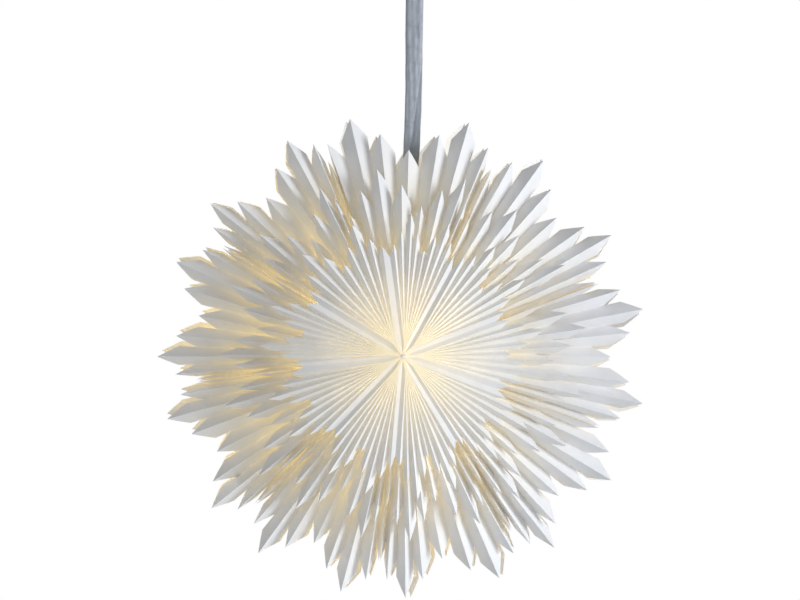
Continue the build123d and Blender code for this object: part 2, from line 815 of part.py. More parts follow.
print("hinge heights:", round(swing_height, 3), round(side_height, 3))
print("sleeve length:", round(sleeve_high - sleeve_low, 2), "cable length:", round(cable_high - cable_low, 2))
print("cup mouth:", -cup_height, "ferrule:", round(ferrule_bottom, 2), round(ferrule_top, 2))
print("bulb middle:", round(bulb_centre + star_drop, 2), "above the star's middle")
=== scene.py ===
"""Looks of the pleated paper star lantern: its folded paper, lamp light, sleeve and fittings."""

import math
import random
from functools import partial

import bmesh
import bpy
from mathutils import Matrix, Vector, noise


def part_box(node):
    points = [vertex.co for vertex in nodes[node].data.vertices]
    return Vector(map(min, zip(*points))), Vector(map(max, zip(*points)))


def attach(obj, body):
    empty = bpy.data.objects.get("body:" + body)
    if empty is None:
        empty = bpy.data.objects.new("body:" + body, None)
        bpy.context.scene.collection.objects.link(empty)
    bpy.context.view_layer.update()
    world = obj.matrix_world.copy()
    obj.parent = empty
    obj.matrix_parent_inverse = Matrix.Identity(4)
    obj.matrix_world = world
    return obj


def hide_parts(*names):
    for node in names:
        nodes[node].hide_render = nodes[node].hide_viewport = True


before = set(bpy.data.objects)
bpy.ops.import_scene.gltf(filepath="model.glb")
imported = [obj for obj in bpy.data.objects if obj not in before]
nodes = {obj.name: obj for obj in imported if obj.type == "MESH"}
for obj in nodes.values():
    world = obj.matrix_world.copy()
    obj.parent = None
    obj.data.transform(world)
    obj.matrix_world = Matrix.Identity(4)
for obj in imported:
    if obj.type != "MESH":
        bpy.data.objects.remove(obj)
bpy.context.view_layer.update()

# The star's middle, and its folding pattern, in metres and degrees clockwise from the top.
middle = Vector((0.0026, 0.0, -0.520))
spans = [46.3, 44.3, 40.6] + [38.1333] * 6
units = len(spans)
pleats = 8
panel_width = 0.022
tip_drop = 0.025
leaf_step = 0.0224
cone_slope = 0.12
rim_height = 0.0265
tier_gap = 0.0008
seam_gap, wide_seam_gap = 0.0009, 0.0014
wide_seams = (1, 2, 7, 8)
outer_tip, middle_tip, inner_tip = 0.297, 0.229, 0.169
outer_start, middle_start, inner_start = 0.130, 0.080, 0.0032

# The angle that the solids' inner fans keep to their seams. Their apex's height comes from it.
inner_side_gap = 3.0

# The inner fans' side ridges keep between these angles to their seams. Their folds run together to
# a bundle, this far out from the middle and this wide. Their pleats are no steeper than this. Their
# leaves reach a little further than the solids' and have shallower notches, none of which is cut
# further in than this.
side_gaps = (1.9, 3.0)
bundle_reach = (0.009, 0.018)
bundle_width = 0.0030
steepest_pleat = 1.4
inner_stretch = 0.004
inner_drop = 0.014
inner_notch = 0.120

# A pleat's share of its full depth at the star's middle, and what it gains from there to the tips.
depth_shares = (0.4, 0.6)
inner_depth_shares = (0.26, 0.32)

# Half a pleat is never wider than this share of a panel, so that no pleat lies quite flat.
widest_half_pleat = 0.9

# How uneven the paper is: the reach of every tip, what comes to that for the inner fans' tips and
# notches and for the two leaves beside an inner seam, the height of a fold, the bow of a panel, and
# the angle of an inner ridge.
tip_spread = 0.0022
inner_tip_spread = 0.002
notch_spread = 0.005
side_stretch = (0.003, 0.010)
lift_spread = 0.0016
bows = (-0.0006, 0.0012)
ridge_spread = 0.35

# The outer leaves keep this angle to their seams. The back's reach a little further than the
# front's, and are turned against it by up to this angle.
least_leaf_gap = 1.2
back_stretch = 0.002
back_turn = 1.2

# Panels join the inner fans to their seams. They go down by this share of a panel's width, more or
# less by the second share in so many waves round the star. They get less of the painted glow, and
# their lower edges count as part of a ridge for it.
flap_depth, flap_depth_spread, flap_waves = 0.24, 0.1, 5
flap_glow = 0.7
flap_edge = 0.4

# Every panel's grid: its rows inside the notches, its rows in all and its columns. The inner rows
# lie closer towards the middle, and end this far inside the notch that the shortest leaf would have.
inner_rows, panel_rows, panel_columns = 14, 22, 4
crowding = 1.5
notch_margin = 0.004

# Points closer than this are welded, and folds that turn by more than this many degrees are sharp.
weld = 1e-5
sharp_turn = 25

# The photograph is taken a little turned, so its angles count from the sleeve's lean.
camera_roll = 2.2

# The seven leaf tips of each unit's outer fan, clockwise from the top unit's left one.
outer_leaves = (
    (-20.1, -12.7, -5.9, 1.6, 9.4, 15.9, 22.4),
    (29.6, 35.9, 41.9, 48.3, 54.9, 60.2, 65.5),
    (73.4, 79.3, 84.5, 90.6, 96.9, 101.6, 106.4),
    (115.3, 121.1, 126.4, 132.2, 137.9, 141.9, 146.1),
    (150.9, 156.7, 162.5, 169.1, 175.0, 179.4, 184.1),
    (189.4, 194.7, 199.7, 205.3, 211.4, 216.1, 221.4),
    (226.9, 231.3, 236.3, 242.5, 249.4, 254.7, 259.8),
    (265.0, 269.5, 274.7, 280.8, 286.8, 292.2, 297.6),
    (303.8, 308.1, 312.7, 318.9, 325.8, 331.6, 336.9),
)

# The two long leaves of each unit's middle fan, with the short one between them.
middle_leaves = (
    (-8.0, 7.0, 19.5),
    (38.1, 50.2, 60.8),
    (81.6, 92.2, 102.8),
    (119.1, 130.9, 140.8),
    (155.4, 167.5, 177.9),
    (192.9, 204.7, 215.0),
    (230.0, 242.3, 254.0),
    (270.0, 280.3, 291.9),
    (310.0, 321.6, 333.5),
)

# How far each unit's longest tips reach.
outer_tips = [0.298] * 2 + [0.3035] * 7

# The inner fans part at these angles, which near the top aren't those of the fans below them.
inner_seams = (-7.5, 29.3, 69.3, 109.5, 148.0, 184.5, 223.0, 264.0, 301.5, 352.5)


def tip_depth(tip, span):
    """How deep the pleats of a fan are at its tip, where they are shallowest."""
    half_width = tip * math.sin(math.radians(span / (2 * pleats)))
    return math.sqrt(panel_width**2 - half_width**2)


narrowest = min(spans)
outer_apex = rim_height + cone_slope * outer_tip
middle_apex = outer_apex + tier_gap + tip_depth(middle_tip, narrowest)
inner_apex = middle_apex + tier_gap + tip_depth(inner_tip, narrowest - 2 * inner_side_gap)

# Camera: the picture's width and the star's place right of and below its centre are in pixels, and
# a pixel is this wide at the star's middle.
picture_width = 800
star_right, star_down = 3, 54
pixel = 0.00125
distance = 2.6
roll = math.radians(camera_roll)
picture_right = Vector((math.cos(roll), 0, math.sin(roll)))
picture_up = Vector((-math.sin(roll), 0, math.cos(roll)))
camera_data = bpy.data.cameras.new("camera")
camera_data.sensor_width = 36
camera_data.lens = camera_data.sensor_width * distance / (picture_width * pixel)
camera = bpy.data.objects.new("camera", camera_data)
bpy.context.scene.collection.objects.link(camera)
camera_place = middle - star_right * pixel * picture_right + star_down * pixel * picture_up
camera_place += Vector((0, -distance, 0))
camera_axes = Matrix((picture_right, picture_up, (0, -1, 0))).transposed()
camera.matrix_world = Matrix.Translation(camera_place) @ camera_axes.to_4x4()
bpy.context.scene.camera = camera


# Materials.
def new_material(name, colour, roughness, metallic=0.0):
    made = bpy.data.materials.new(name)
    made.use_nodes = True
    surface = made.node_tree.nodes["Principled BSDF"]
    surface.inputs["Base Color"].default_value = (*colour, 1)
    surface.inputs["Roughness"].default_value = roughness
    surface.inputs["Metallic"].default_value = metallic
    return made, made.node_tree, surface


def grain(tree, scale, detail=4.0, stretch=(1, 1, 1)):
    """Noise over the object, stretched along an axis by a scale under 1."""
    place = tree.nodes.new("ShaderNodeTexCoord")
    mapping = tree.nodes.new("ShaderNodeMapping")
    mapping.inputs["Scale"].default_value = stretch
    texture = tree.nodes.new("ShaderNodeTexNoise")
    texture.inputs["Scale"].default_value = scale
    texture.inputs["Detail"].default_value = detail
    tree.links.new(place.outputs["Object"], mapping.inputs["Vector"])
    tree.links.new(mapping.outputs["Vector"], texture.inputs["Vector"])
    return texture.outputs["Fac"]


def ramp(tree, value, first_stop, second_stop):
    """Colour by value, between two stops that each are a value and its colour."""
    made = tree.nodes.new("ShaderNodeValToRGB")
    for place, (at, colour) in enumerate((first_stop, second_stop)):
        element = made.color_ramp.elements[place]
        element.position = at
        element.color = (*colour, 1)
    tree.links.new(value, made.inputs["Fac"])
    return made.outputs["Color"]


def noise_ramp(tree, value, dark, light):
    """Colour from dark to light over the values that a noise mostly has."""
    return ramp(tree, value, (0.3, dark), (0.7, light))


def shade(colour, share):
    """The colour, darker by a share under 1 or lighter by one over it."""
    return tuple(channel * share for channel in colour)


def multiply(tree, first, second):
    """One colour tinted by another."""
    mixed = tree.nodes.new("ShaderNodeMix")
    mixed.data_type = "RGBA"
    mixed.blend_type = "MULTIPLY"
    mixed.inputs["Factor"].default_value = 1.0
    tree.links.new(first, mixed.inputs["A"])
    tree.links.new(second, mixed.inputs["B"])
    return mixed.outputs["Result"]


def add_bump(tree, surface, height, strength, depth):
    bump = tree.nodes.new("ShaderNodeBump")
    bump.inputs["Strength"].default_value = strength
    bump.inputs["Distance"].default_value = depth
    tree.links.new(height, bump.inputs["Height"])
    tree.links.new(bump.outputs["Normal"], surface.inputs["Normal"])
    return bump.outputs["Normal"]


def mottle(tree, surface, value, colour, spread):
    """Colour that wanders a little darker and lighter with value."""
    mottled = noise_ramp(tree, value, shade(colour, 1 - spread), shade(colour, 1 + spread / 2))
    tree.links.new(mottled, surface.inputs["Base Color"])


def wear(tree, surface, value, low, high):
    """Roughness that wanders from low to high with value."""
    rough = tree.nodes.new("ShaderNodeMapRange")
    rough.inputs["To Min"].default_value = low
    rough.inputs["To Max"].default_value = high
    tree.links.new(value, rough.inputs["Value"])
    tree.links.new(rough.outputs["Result"], surface.inputs["Roughness"])


def moulded(name, colour, roughness=0.4):
    """Moulded plastic with a faint texture."""
    made, tree, surface = new_material(name, colour, roughness)
    fine = grain(tree, 1400, 2)
    mottle(tree, surface, grain(tree, 90), colour, 0.04)
    wear(tree, surface, fine, roughness - 0.06, roughness + 0.08)
    add_bump(tree, surface, fine, 0.15, 0.0002)
    return made


def metal(name, colour, roughness, stretch=(1, 1, 0.06)):
    """Metal drawn or brushed along its length."""
    made, tree, surface = new_material(name, colour, roughness, 1.0)
    lines = grain(tree, 900, 3, stretch)
    mottle(tree, surface, grain(tree, 120), colour, 0.08)
    wear(tree, surface, lines, roughness - 0.08, roughness + 0.1)
    add_bump(tree, surface, lines, 0.2, 0.0001)
    return made


def painted(tree, name):
    """A value that the mesh's points carry."""
    attribute = tree.nodes.new("ShaderNodeAttribute")
    attribute.attribute_name = name
    return attribute.outputs["Fac"]


def let_light_through(made, surface, colour, share):
    """Lets a share of the light behind a sheet show through it."""
    tree = made.node_tree
    through = tree.nodes.new("ShaderNodeBsdfTranslucent")
    through.inputs["Color"].default_value = (*colour, 1)
    mix = tree.nodes.new("ShaderNodeMixShader")
    mix.inputs["Fac"].default_value = share
    tree.links.new(surface.outputs["BSDF"], mix.inputs[1])
    tree.links.new(through.outputs["BSDF"], mix.inputs[2])
    tree.links.new(mix.outputs["Shader"], tree.nodes["Material Output"].inputs["Surface"])
    return through


def pressed_card(name, colour):
    """Card with short fibres, a little translucent, with the bulb's light painted on as a faint glow.
    """
    made, tree, surface = new_material(name, colour, 0.75)
    # Painted light: a faint warm emission stands in for the bulb's light on the card.
    surface.inputs["Emission Color"].default_value = (1.0, 0.74, 0.30, 1)
    surface.inputs["Emission Strength"].default_value = 0.1
    fibres = grain(tree, 700, 6)
    mottle(tree, surface, fibres, colour, 0.05)
    add_bump(tree, surface, fibres, 0.25, 0.0002)
    let_light_through(made, surface, (1.0, 0.93, 0.78), 0.45)
    return made


def folded_paper(name, colour):
    """White paper with long fibres and folds worn a little lighter, and the bulb's light painted on
    by its points' glow, which tints its colour warm and drives its emission.
    """
    lamp_lit = (1.0, 0.95, 0.80)
    made, tree, surface = new_material(name, colour, 0.62)
    fibres = grain(tree, 420, 8)
    clouds = grain(tree, 38, 3)
    worn = ramp(tree, painted(tree, "fold"), (0.0, shade(colour, 1.04)), (0.12, colour))
    cloudy = noise_ramp(tree, clouds, (0.95, 0.95, 0.955), (1, 1, 1))
    # Painted light: the points' glow values stand in for the bulb's light through the paper; they
    # tint the base colour warm and set the emission.
    glow = painted(tree, "glow")
    painted_lamp_tint = ramp(tree, glow, (0.02, (1, 1, 1)), (0.2, lamp_lit))
    mixed = multiply(tree, multiply(tree, worn, cloudy), painted_lamp_tint)
    tree.links.new(mixed, surface.inputs["Base Color"])
    wear(tree, surface, fibres, 0.55, 0.72)
    normal = add_bump(tree, surface, fibres, 0.12, 0.0003)
    surface.inputs["Emission Color"].default_value = (1.0, 0.79, 0.42, 1)
    tree.links.new(glow, surface.inputs["Emission Strength"])
    through = let_light_through(made, surface, lamp_lit, 0.02)
    tree.links.new(normal, through.inputs["Normal"])
    return made


star_paper = folded_paper("star_paper", (0.86, 0.865, 0.88))


# Meshes.
def join_rows(mesh, grid, closed=False):
    """Faces between each two rows of points, all the way round where the rows are closed."""
    for lower, upper in zip(grid, grid[1:]):
        for step in range(len(lower) if closed else len(lower) - 1):
            following = (step + 1) % len(lower)
            mesh.faces.new((lower[step], lower[following], upper[following], upper[step]))


def piece_of(mesh, name, material):
    """An object in the scene, made of a finished bmesh."""
    data = bpy.data.meshes.new(name)
    mesh.to_mesh(data)
    mesh.free()
    data.materials.append(material)
    piece = bpy.data.objects.new(name, data)
    bpy.context.scene.collection.objects.link(piece)
    return piece


# Folded paper.
def star_point(side, angle, radius, height):
    """Point of the star: at the front where side is -1, at the back where it is 1."""
    turn = math.radians(angle)
    return Vector(
        (middle.x + radius * math.sin(turn), side * height, middle.z + radius * math.cos(turn))
    )


def fan_folds(ridges):
    """Fold angles of a fan from its ridges' angles: a valley lies between each two ridges."""
    folds = [ridges[0]]
    for before, after in zip(ridges, ridges[1:]):
        folds += [(before + after) / 2, after]
    return folds


# The bulb's light through each fan, painted on as a glow: strength, from which radius it fades, over
# how far, what is left at the tips, and how much more of it the side that the photograph shows
# warmest gets.
outer_glow = (0.10, 0.17, 0.065, 0.02, 0.6)
back_outer_glow = (0.12, 0.17, 0.065, 0.08, 0.8)
middle_glow = (0.12, 0.12, 0.05, 0.02, 0.2)
inner_glow = (0.24, 0.0, 0.060, 0.06, 0.0)
warm_side = 265.0

# The valleys, closer to the bulb, get this share of that painted glow, and the ridges so much less.
valley_glow, ridge_dimming = 1.1, 0.4


def add_fan(mesh, side, ridges, tip, start, apex, glow, rng, edge_gaps=(0.0, 0.0), flaps=()):
    """One pleated fan in the bmesh. Its side ridges keep edge_gaps to the seams' middle planes.

    With flaps, the two seams' angles, its folds run together towards the middle, and a panel joins
    each side ridge to its seam."""
    fold_layer = mesh.verts.layers.float["fold"]
    glow_layer = mesh.verts.layers.float["glow"]
    folds = fan_folds(ridges)
    # A fan has two long leaves, and the others are one or two steps shorter.
    tips = [
        tip - abs(2 - place % 4) * leaf_step + rng.uniform(-tip_spread, tip_spread)
        for place in range(pleats + 1)
    ]
    notches = [leaf - tip_drop for leaf in tips]
    if flaps:
        tips = [
            leaf + inner_stretch + rng.uniform(-inner_tip_spread, inner_tip_spread) for leaf in tips
        ]
        tips[0] += rng.uniform(*side_stretch)
        tips[-1] += rng.uniform(*side_stretch)
        notches = [
            max(leaf - inner_drop, inner_notch + rng.uniform(0, notch_spread)) for leaf in tips
        ]
    lift = [rng.uniform(-lift_spread, lift_spread) for _ in folds]
    # The inner rows end at this radius, inside every notch.
    level = tip - 2 * leaf_step - tip_drop - notch_margin
    last = len(folds) - 1
    centre = (folds[0] + folds[-1]) / 2
    half_span = (folds[-1] - folds[0]) / 2
    strength, fades_from, fades_over, rest, lean = glow
    side_glow = 1 + lean * math.cos(math.radians(centre - warm_side))
    shallow, deepening = inner_depth_shares if flaps else depth_shares
    bundle = rng.uniform(*bundle_reach)

    def gathered(radius):
        """Share of the fan's spread that is left at a radius."""
        if not flaps:
            return 1.0
        fanned = max(1 - bundle / radius, 0) / (1 - bundle / tip)
        least = math.degrees(math.asin(min(bundle_width / 2 / radius, 1.0))) / half_span
        return min(math.hypot(fanned, least), 1.0)

    def opened(radius):
        """Share of a pleat's full depth that it has at a radius."""
        return shallow + deepening * radius / tip

    def fold_at(place, radius):
        """Point of a fold: the even ones are ridges, the odd ones valleys."""
        angle = centre + (folds[place] - centre) * gathered(radius)
        if place == 0:
            angle += math.degrees(edge_gaps[0] / radius)
        elif place == last:
            angle -= math.degrees(edge_gaps[1] / radius)
        height = apex - cone_slope * radius + lift[place] * (radius / tip) ** 2
        if place % 2:
            half_pitch = math.radians(folds[place + 1] - folds[place - 1]) / 2 * gathered(radius)
            half_width = min(radius * math.sin(half_pitch), widest_half_pleat * panel_width)
            deep = math.sqrt(panel_width**2 - half_width**2) * opened(radius)
            height -= min(deep, steepest_pleat * half_width) if flaps else deep
        return star_point(side, angle, radius, height)

    def seam_at(angle, radius):
        """Point of the line at a seam where the panel beside it ends."""
        depth = flap_depth + flap_depth_spread * math.sin(math.radians(flap_waves * angle))
        height = apex - cone_slope * radius - depth * panel_width * opened(radius)
        return star_point(side, angle, radius, height)

    def add_panel(near, far, near_reach, far_reach, bow, near_ridge, far_ridge, share=1.0):
        """Panel between two lines, each a function of radius, out to its two reaches.

        The ridge values are 1 at a ridge and 0 at a valley, and share is how much painted glow it
        gets."""
        grid = []
        for row in range(panel_rows + 1):
            line = []
            for column in range(panel_columns + 1):
                across = column / panel_columns
                if row <= inner_rows:
                    radius = start + (level - start) * (row / inner_rows) ** crowding
                else:
                    reach = near_reach + (far_reach - near_reach) * across
                    outwards = row - inner_rows
                    radius = level + (reach - level) * outwards / (panel_rows - inner_rows)
                arch = 4 * across * (1 - across)
                point = near(radius).lerp(far(radius), across)
                point.y += side * bow * arch * radius / tip
                vert = mesh.verts.new(point)
                vert[fold_layer] = arch
                ridge = near_ridge + (far_ridge - near_ridge) * across
                # Painted light: the bulb's glow, fading outwards, stronger on one side and in the
                # valleys than on the ridges.
                fading = math.exp(-((max(radius - fades_from, 0) / fades_over) ** 2))
                lit = share * side_glow * (rest + strength * fading)
                vert[glow_layer] = lit * (valley_glow - ridge_dimming * ridge)
                line.append(vert)
            grid.append(line)
        join_rows(mesh, grid)

    for place in range(last):
        bow = rng.uniform(*bows)
        ridge = (place + 1) // 2
        leaf, notch = tips[ridge], notches[ridge]
        reaches = (notch, leaf) if place % 2 else (leaf, notch)
        add_panel(
            partial(fold_at, place), partial(fold_at, place + 1), *reaches, bow,
            near_ridge=1 - place % 2, far_ridge=place % 2,
        )
    for place, seam in zip((0, last), flaps):
        add_panel(
            partial(fold_at, place), partial(seam_at, seam), tips[place // 2], inner_notch, bow=0.0,
            near_ridge=1.0, far_ridge=flap_edge, share=flap_glow,
        )


def evenly(first, last, count):
    """Angles in equal steps from the first to the last."""
    return [first + (last - first) * place / count for place in range(count + 1)]


def hung(angle, side):
    """The star's own angle of a leaf, from its angle in the photograph, or near that behind."""
    turned = angle - camera_roll
    if side > 0:
        turned -= back_turn * math.cos(2 * math.radians(angle))
    return turned


seams = [-spans[0] / 2]
for span in spans:
    seams.append(seams[-1] + span)
for side, side_name in ((-1, "front"), (1, "back")):
    for number in range(units):
        rng = random.Random(100 * number + side)
        left, right = seams[number], seams[number + 1]
        mesh = bmesh.new()
        mesh.verts.layers.float.new("fold")
        mesh.verts.layers.float.new("glow")
        edges = [
            wide_seam_gap if seam % units in wide_seams else seam_gap
            for seam in (number, number + 1)
        ]
        leaves = [hung(angle, side) for angle in outer_leaves[number]]
        leaves = [min(max(angle, left + least_leaf_gap), right - least_leaf_gap) for angle in leaves]
        add_fan(
            mesh, side, [left, *leaves, right],
            outer_tips[number] + (back_stretch if side > 0 else 0), outer_start, outer_apex,
            outer_glow if side < 0 else back_outer_glow, rng, edges,
        )
        first, short, second = (hung(angle, side) for angle in middle_leaves[number])
        leaves = [(left + first) / 2, first, (first + short) / 2, short]
        leaves += [(short + second) / 2, second, (second + right) / 2]
        add_fan(
            mesh, side, [left, *leaves, right], middle_tip, middle_start, middle_apex, middle_glow,
            rng, edges,
        )
        first, last = (hung(angle, side) for angle in inner_seams[number:number + 2])
        ridges = evenly(first + rng.uniform(*side_gaps), last - rng.uniform(*side_gaps), pleats)
        ridges = [angle + rng.uniform(-ridge_spread, ridge_spread) for angle in ridges]
        add_fan(
            mesh, side, ridges, inner_tip, inner_start, inner_apex, inner_glow, rng,
            flaps=(first, last),
        )
        bmesh.ops.remove_doubles(mesh, verts=mesh.verts, dist=weld)
        for face in mesh.faces:
            face.smooth = True
        piece = piece_of(mesh, f"{side_name}_paper_{number + 1}", star_paper)
        piece.data.set_sharp_from_angle(angle=math.radians(sharp_turn))
        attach(piece, "star")
        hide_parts(f"{side_name}_unit_{number + 1}")


# Sleeve: a gathered fabric tube over the cable, creased as it hangs.
def woven(name, colour):
    """Thin silky fabric: long threads, fine cross threads, a soft sheen, and painted shade from its
    points.
    """
    made, tree, surface = new_material(name, colour, 0.55)
    threads = grain(tree, 900, 3, (1, 1, 0.05))
    slubs = grain(tree, 260, 5, (1, 0.3, 0.35))
    cross = grain(tree, 900, 2, (0.08, 0.08, 1))
    both = tree.nodes.new("ShaderNodeMath")
    both.operation = "ADD"
    tree.links.new(threads, both.inputs[0])
    tree.links.new(cross, both.inputs[1])
    slubbed = noise_ramp(tree, slubs, shade(colour, 0.86), shade(colour, 1.08))
    shadow = painted(tree, "shadow")
    # Painted shade: the colour darkens as the points' shadow values say.
    painted_shade = ramp(tree, shadow, (0.0, (1, 1, 1)), (1.0, (0.62, 0.64, 0.66)))
    tree.links.new(multiply(tree, slubbed, painted_shade), surface.inputs["Base Color"])
    wear(tree, surface, threads, 0.45, 0.65)
    add_bump(tree, surface, both.outputs["Value"], 0.6, 0.0004)
    surface.inputs["Sheen Weight"].default_value = 0.3
    surface.inputs["Sheen Roughness"].default_value = 0.4
    return made


sleeve_grey = (0.45, 0.48, 0.53)
sleeve_fabric = woven("sleeve_fabric", sleeve_grey)
sleeve_low, sleeve_high = (corner.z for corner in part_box("fabric_sleeve"))
sleeve_length = sleeve_high - sleeve_low

# Half the sleeve's width at its bottom and top, half its thickness, and how far it bends sideways.
sleeve_foot, sleeve_head = 0.0095, 0.0112
sleeve_deep = 0.0041
sleeve_sway = 0.0036

# How flat its section is, where 1 is a round one. How high its ripples and its long pleats stand,
# with how many there are across and along it and how far the pleats swing. How far its edges wander
# and how often.
flatness = 0.6
ripple_height = 0.00045
ripples_across, ripples_along = 3.1, 26
pleat_height = 0.00025
pleats_across, pleats_along = 9, 9
pleat_swing = 2.2
edge_wander = 0.0004
wanders_along = 17

# The fold on its front: where it begins, across from -1 to 1 and as a share of the height, over
# which share it rises to the right edge, how far the fabric steps back past it, and how soft the
# edge of the painted shade past it is.
fold_left, fold_low, fold_rise = -0.15, 0.437, 0.307
fold_step = 0.0007
fold_softness = 0.12

# How dark the painted shade on its edges is, from where and over how far across, and the same for
# the painted shade on the right part of its top, above this share of its height.
edge_shadow, edge_from, edge_over = 0.65, 0.80, 0.18
top_shadow, top_from, top_over = 0.30, -0.1, 0.3
top_share = 0.80

# Shade painted along cross wrinkles: at which share of its height, and how dark, then how far they
# slant and spread.
wrinkle_shadows = (
    (0.842, 0.25),
    (0.769, 0.32),
    (0.716, 0.20),
    (0.594, 0.22),
    (0.507, 0.30),
    (0.489, 0.25),
)
wrinkle_slant = 0.006
wrinkle_spread = 0.005

# The sleeve's rows of points and the points in each.
sleeve_rows, sleeve_around = 260, 72


def crease_at(share):
    """Where the fold on the sleeve's front runs, from its left edge, -1, to its right edge, 1."""
    return fold_left + (1 - fold_left) * (share - fold_low) / fold_rise


def clamped(value):
    """The value, kept between 0 and 1."""
    return min(max(value, 0.0), 1.0)


def sleeve_shadow(turn, share):
    """How dark the painted shade on the fabric is: past its fold, towards its edges and along its
    wrinkles.
    """
    across = math.cos(turn)
    darker = edge_shadow * clamped((abs(across) - edge_from) / edge_over)
    if math.sin(turn) < 0:
        darker = max(darker, clamped((across - crease_at(share)) / fold_softness + 0.5))
        if share > top_share:
            darker = max(darker, top_shadow * clamped((across - top_from) / top_over))
    for wrinkle, strength in wrinkle_shadows:
        away = (share - wrinkle + wrinkle_slant * across) / wrinkle_spread
        darker += strength * math.exp(-(away**2))
    return min(darker, 1.0)


def sleeve_point(turn, share):
    """Point on the sleeve at an angle round it and a share of its height from the bottom."""
    half_width = sleeve_foot + (sleeve_head - sleeve_foot) * share
    across = math.cos(turn)
    deep = math.sin(turn)
    # The last number of each noise sets the front off from the back, and the left from the right.
    facing = math.copysign(1, deep)
    leaning = math.copysign(2, across)
    rippled = noise.noise(Vector((across * ripples_across, share * ripples_along, 1.7 * facing)))
    ripple = ripple_height * rippled
    pleat = pleat_height * math.sin(
        across * pleats_across + pleat_swing * math.sin(share * pleats_along)
    )
    step = fold_step if deep < 0 and across > crease_at(share) else 0.0
    y = facing * (abs(deep) ** flatness * (sleeve_deep - step) + (ripple + pleat) * abs(deep))
    sway = sleeve_sway * math.sin(math.pi * share) ** 2
    wander = edge_wander * noise.noise(Vector((share * wanders_along, 3.3, leaning)))
    return Vector((sway + across * (half_width + wander), y, sleeve_low + sleeve_length * share))


mesh = bmesh.new()
shadow_layer = mesh.verts.layers.float.new("shadow")
rings = []
for row in range(sleeve_rows + 1):
    ring = []
    for step in range(sleeve_around):
        turn = 2 * math.pi * (step + 0.5) / sleeve_around
        vert = mesh.verts.new(sleeve_point(turn, row / sleeve_rows))
        vert[shadow_layer] = sleeve_shadow(turn, row / sleeve_rows)
        ring.append(vert)
    rings.append(ring)
join_rows(mesh, rings, closed=True)
for face in mesh.faces:
    face.smooth = True
sleeve = piece_of(mesh, "sleeve", sleeve_fabric)
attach(sleeve, "cord")
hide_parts("fabric_sleeve")


# Cable inside the sleeve, straight from the lampholder up to the clamp, and its loose tail.
cable_radius = 0.003


def bevelled_line(name, points, material, body, node):
    """Round cable along a smooth line through its points."""
    curve = bpy.data.curves.new(name, "CURVE")
    curve.dimensions = "3D"
    curve.bevel_depth = cable_radius
    curve.bevel_resolution = 5
    curve.use_fill_caps = True
    spline = curve.splines.new("NURBS")
    spline.points.add(len(points) - 1)
    for place, point in zip(spline.points, points):
        place.co = (*point, 1)
    spline.order_u = 3
    spline.use_endpoint_u = True
    curve.materials.append(material)
    piece = bpy.data.objects.new(name, curve)
    bpy.context.scene.collection.objects.link(piece)
    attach(piece, body)
    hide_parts(node)
    return piece


sheath = moulded("cable_sheath", (0.80, 0.80, 0.79), 0.5)
cable_low, cable_high = (corner.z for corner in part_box("cable"))
cable_points = [(0, 0, cable_low + (cable_high - cable_low) * share / 4) for share in range(5)]
cable = bevelled_line("cable_line", cable_points, sheath, "cord", "cable")
tail_low, tail_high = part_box("flex_tail")
tail_z = tail_low.z + cable_radius
tail_x = tail_high.x - cable_radius
tail_points = [
    (tail_low.x, 0, tail_z),
    ((tail_low.x + tail_x) / 2, 0, tail_z),
    (tail_x, 0, tail_z),
    (tail_x, 0, (tail_z + tail_high.z) / 2),
    (tail_x, 0, tail_high.z),
]
bevelled_line("tail_line", tail_points, sheath, "clamp", "flex_tail")

# Core: the knot where the folds are pressed together, at the front and the back. Its profile is a
# list of radii and heights, and its ridges and valleys differ from it by these shares.
knot_paper = folded_paper("knot_paper", (0.9, 0.9, 0.89))
knot_folds = 36
knot_top = 0.1052
knot_profile = (
    (0.0036, 0.0900),
    (0.0036, 0.1030),
    (0.0033, 0.1040),
    (0.0026, 0.1046),
    (0.0016, 0.1050),
    (0.0008, 0.1051),
)
knot_ridge, knot_valley, knot_spread = 0.16, -0.10, 0.06
for side, name in ((-1, "front_core"), (1, "back_core")):
    mesh = bmesh.new()
    mesh.verts.layers.float.new("fold")
    mesh.verts.layers.float.new("glow")
    rng = random.Random(side)
    rings = []
    for radius, height in knot_profile:
        ring = []
        for step in range(knot_folds):
            ridge = 1.0 + (knot_ridge if step % 2 else knot_valley)
            ridge += rng.uniform(-knot_spread, knot_spread)
            angle = 360 * step / knot_folds
            ring.append(mesh.verts.new(star_point(side, angle, radius * ridge, height)))
        rings.append(ring)
    join_rows(mesh, rings, closed=True)
    top = mesh.verts.new(star_point(side, 0, 0, knot_top))
    for near, far in zip(rings[-1], rings[-1][1:] + rings[-1][:1]):
        mesh.faces.new((near, far, top))
    knot = piece_of(mesh, name.replace("core", "knot"), knot_paper)
    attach(knot, "star")
    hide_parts(name)


# Fittings: the CAD nodes with their own materials.
def dress(material, *names):
    """Gives the nodes with these names the material."""
    for name in names:
        nodes[name].data.materials.clear()
        nodes[name].data.materials.append(material)


seam_cards = [f"seam_card_{number}" for number in range(1, units + 1)]
dress(pressed_card("white_card", (0.84, 0.84, 0.82)), *seam_cards, "closing_card", "carrier_card")

dot_white = (0.85, 0.85, 0.84)
dots, tree, surface = new_material("touch_dots", dot_white, 0.9)
loops = grain(tree, 2600, 3)
mottle(tree, surface, loops, dot_white, 0.15)
add_bump(tree, surface, loops, 0.8, 0.0005)
surface.inputs["Sheen Weight"].default_value = 0.4
dress(dots, "closing_dots")

